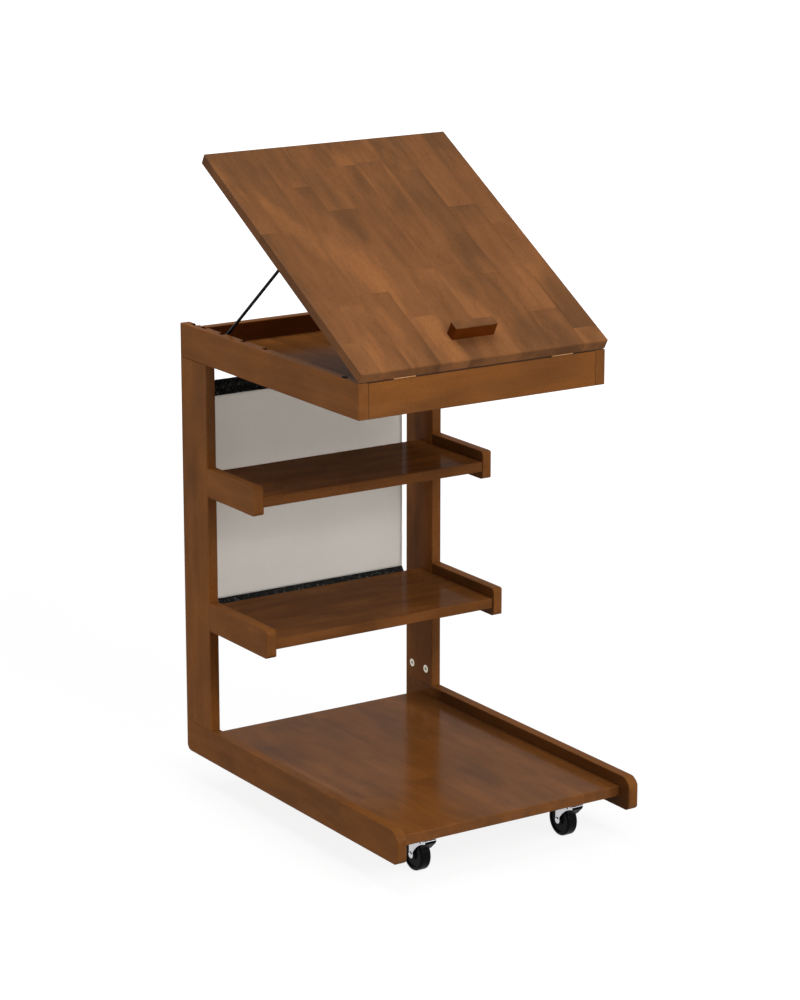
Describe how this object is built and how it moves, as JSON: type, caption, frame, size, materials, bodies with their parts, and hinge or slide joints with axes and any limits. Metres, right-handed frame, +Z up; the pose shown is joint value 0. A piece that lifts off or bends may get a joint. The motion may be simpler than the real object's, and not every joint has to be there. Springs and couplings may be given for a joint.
{
  "type": "c-shaped end table",
  "caption": "C-shaped rolling end table: open base, two shelves with a fabric back, and a tray with a tilting lid held up by a wire prop in notches.",
  "frame": {"origin": "middle of the bounding box's bottom face, on the floor", "axes": "+X to the table's right seen from its open side, +Y towards the posts at the back, +Z up"},
  "size_m": [0.4, 0.568, 0.9324],
  "materials": {
    "stained_wood": "satin lacquer over a warm dark brown stain",
    "stained_wood_top": "satin lacquer over a warm dark brown stain",
    "zinc_steel": "bright zinc plate",
    "hinge_steel": "bright plated",
    "black_wire": "black coating",
    "black_plastic": "moulded black",
    "bumper_rubber": "dull black",
    "grey_fabric": "plain woven, warm grey",
    "black_band": "napped hook-and-loop band",
    "black_wheel": "moulded black",
    "cam_zinc": "die-cast, bright",
    "dowel_wood": "plain beech"
  },
  "bodies": {
    "frame": {"left_base_rail": "stained_wood", "right_base_rail": "stained_wood", "left_post": "stained_wood", "right_post": "stained_wood", "left_tray_rail": "stained_wood", "right_tray_rail": "stained_wood", "left_upper_shelf_rail": "stained_wood", "right_upper_shelf_rail": "stained_wood", "left_lower_shelf_rail": "stained_wood", "right_lower_shelf_rail": "stained_wood", "base_panel": "stained_wood", "lower_shelf_panel": "stained_wood", "upper_shelf_panel": "stained_wood", "tray_front_rail": "stained_wood", "tray_rear_rail": "stained_wood", "tray_bottom_panel": "stained_wood", "left_hinge_frame_leaf": "hinge_steel", "right_hinge_frame_leaf": "hinge_steel", "hinge_pins": "hinge_steel", "hinge_frame_screws": "zinc_steel", "lid_bumpers": "bumper_rubber", "fabric_panel": "grey_fabric", "fabric_upper_band": "black_band", "fabric_lower_band": "black_band", "fabric_rod": "hinge_steel", "front_left_caster_plate": "zinc_steel", "front_right_caster_plate": "zinc_steel", "rear_left_caster_plate": "zinc_steel", "rear_right_caster_plate": "zinc_steel", "caster_screws": "zinc_steel", "post_cam_locks": "cam_zinc", "panel_cam_locks": "cam_zinc", "cam_bolts": "zinc_steel", "dowels": "dowel_wood"},
    "lid": {"lid_panel": "stained_wood_top", "book_ledge": "stained_wood_top", "book_ledge_screws": "zinc_steel", "left_hinge_lid_leaf": "hinge_steel", "right_hinge_lid_leaf": "hinge_steel", "hinge_lid_screws": "zinc_steel", "prop_clips": "black_plastic", "prop_clip_screws": "zinc_steel"},
    "prop": {"prop_wire": "black_wire"},
    "front_left_caster": {"front_left_caster_fork": "zinc_steel", "front_left_caster_axle": "zinc_steel"},
    "front_left_wheel": {"front_left_caster_wheel": "black_wheel"},
    "front_left_pedal": {"front_left_brake_pedal": "black_plastic"},
    "front_right_caster": {"front_right_caster_fork": "zinc_steel", "front_right_caster_axle": "zinc_steel"},
    "front_right_wheel": {"front_right_caster_wheel": "black_wheel"},
    "front_right_pedal": {"front_right_brake_pedal": "black_plastic"},
    "rear_left_caster": {"rear_left_caster_fork": "zinc_steel", "rear_left_caster_axle": "zinc_steel"},
    "rear_left_wheel": {"rear_left_caster_wheel": "black_wheel"},
    "rear_right_caster": {"rear_right_caster_fork": "zinc_steel", "rear_right_caster_axle": "zinc_steel"},
    "rear_right_wheel": {"rear_right_caster_wheel": "black_wheel"}
  },
  "joints": [
    {"name": "lid_hinge", "type": "hinge", "parent": "frame", "child": "lid", "pos_m": [0, -0.1888, 0.683], "axis": [1, 0, 0], "range_deg": [-30.2, 16.8]},
    {"name": "prop_hinge", "type": "hinge", "parent": "lid", "child": "prop", "pos_m": [0, 0.02787, 0.80534], "axis": [1, 0, 0], "range_deg": [-38.64, 69.3]},
    {"name": "front_left_caster_swivel", "type": "hinge", "parent": "frame", "child": "front_left_caster", "pos_m": [-0.1227, -0.227, 0.0525], "axis": [0, 0, 1], "continuous": true},
    {"name": "front_left_wheel_axle", "type": "hinge", "parent": "front_left_caster", "child": "front_left_wheel", "pos_m": [-0.1227, -0.213, 0.0235], "axis": [1, 0, 0], "continuous": true},
    {"name": "front_left_pedal_pivot", "type": "hinge", "parent": "front_left_caster", "child": "front_left_pedal", "pos_m": [-0.1227, -0.2365, 0.0475], "axis": [1, 0, 0], "range_deg": [0, 11]},
    {"name": "front_right_caster_swivel", "type": "hinge", "parent": "frame", "child": "front_right_caster", "pos_m": [0.1227, -0.227, 0.0525], "axis": [0, 0, 1], "continuous": true},
    {"name": "front_right_wheel_axle", "type": "hinge", "parent": "front_right_caster", "child": "front_right_wheel", "pos_m": [0.1227, -0.213, 0.0235], "axis": [1, 0, 0], "continuous": true},
    {"name": "front_right_pedal_pivot", "type": "hinge", "parent": "front_right_caster", "child": "front_right_pedal", "pos_m": [0.1227, -0.2365, 0.0475], "axis": [1, 0, 0], "range_deg": [0, 11]},
    {"name": "rear_left_caster_swivel", "type": "hinge", "parent": "frame", "child": "rear_left_caster", "pos_m": [-0.1227, 0.215, 0.0525], "axis": [0, 0, 1], "continuous": true},
    {"name": "rear_left_wheel_axle", "type": "hinge", "parent": "rear_left_caster", "child": "rear_left_wheel", "pos_m": [-0.1227, 0.229, 0.0235], "axis": [1, 0, 0], "continuous": true},
    {"name": "rear_right_caster_swivel", "type": "hinge", "parent": "frame", "child": "rear_right_caster", "pos_m": [0.1227, 0.215, 0.0525], "axis": [0, 0, 1], "continuous": true},
    {"name": "rear_right_wheel_axle", "type": "hinge", "parent": "rear_right_caster", "child": "rear_right_wheel", "pos_m": [0.1227, 0.229, 0.0235], "axis": [1, 0, 0], "continuous": true}
  ],
  "couplings": [
    {"joint": "prop_hinge", "follows": "lid_hinge", "ratio": -2.2881}
  ]
}
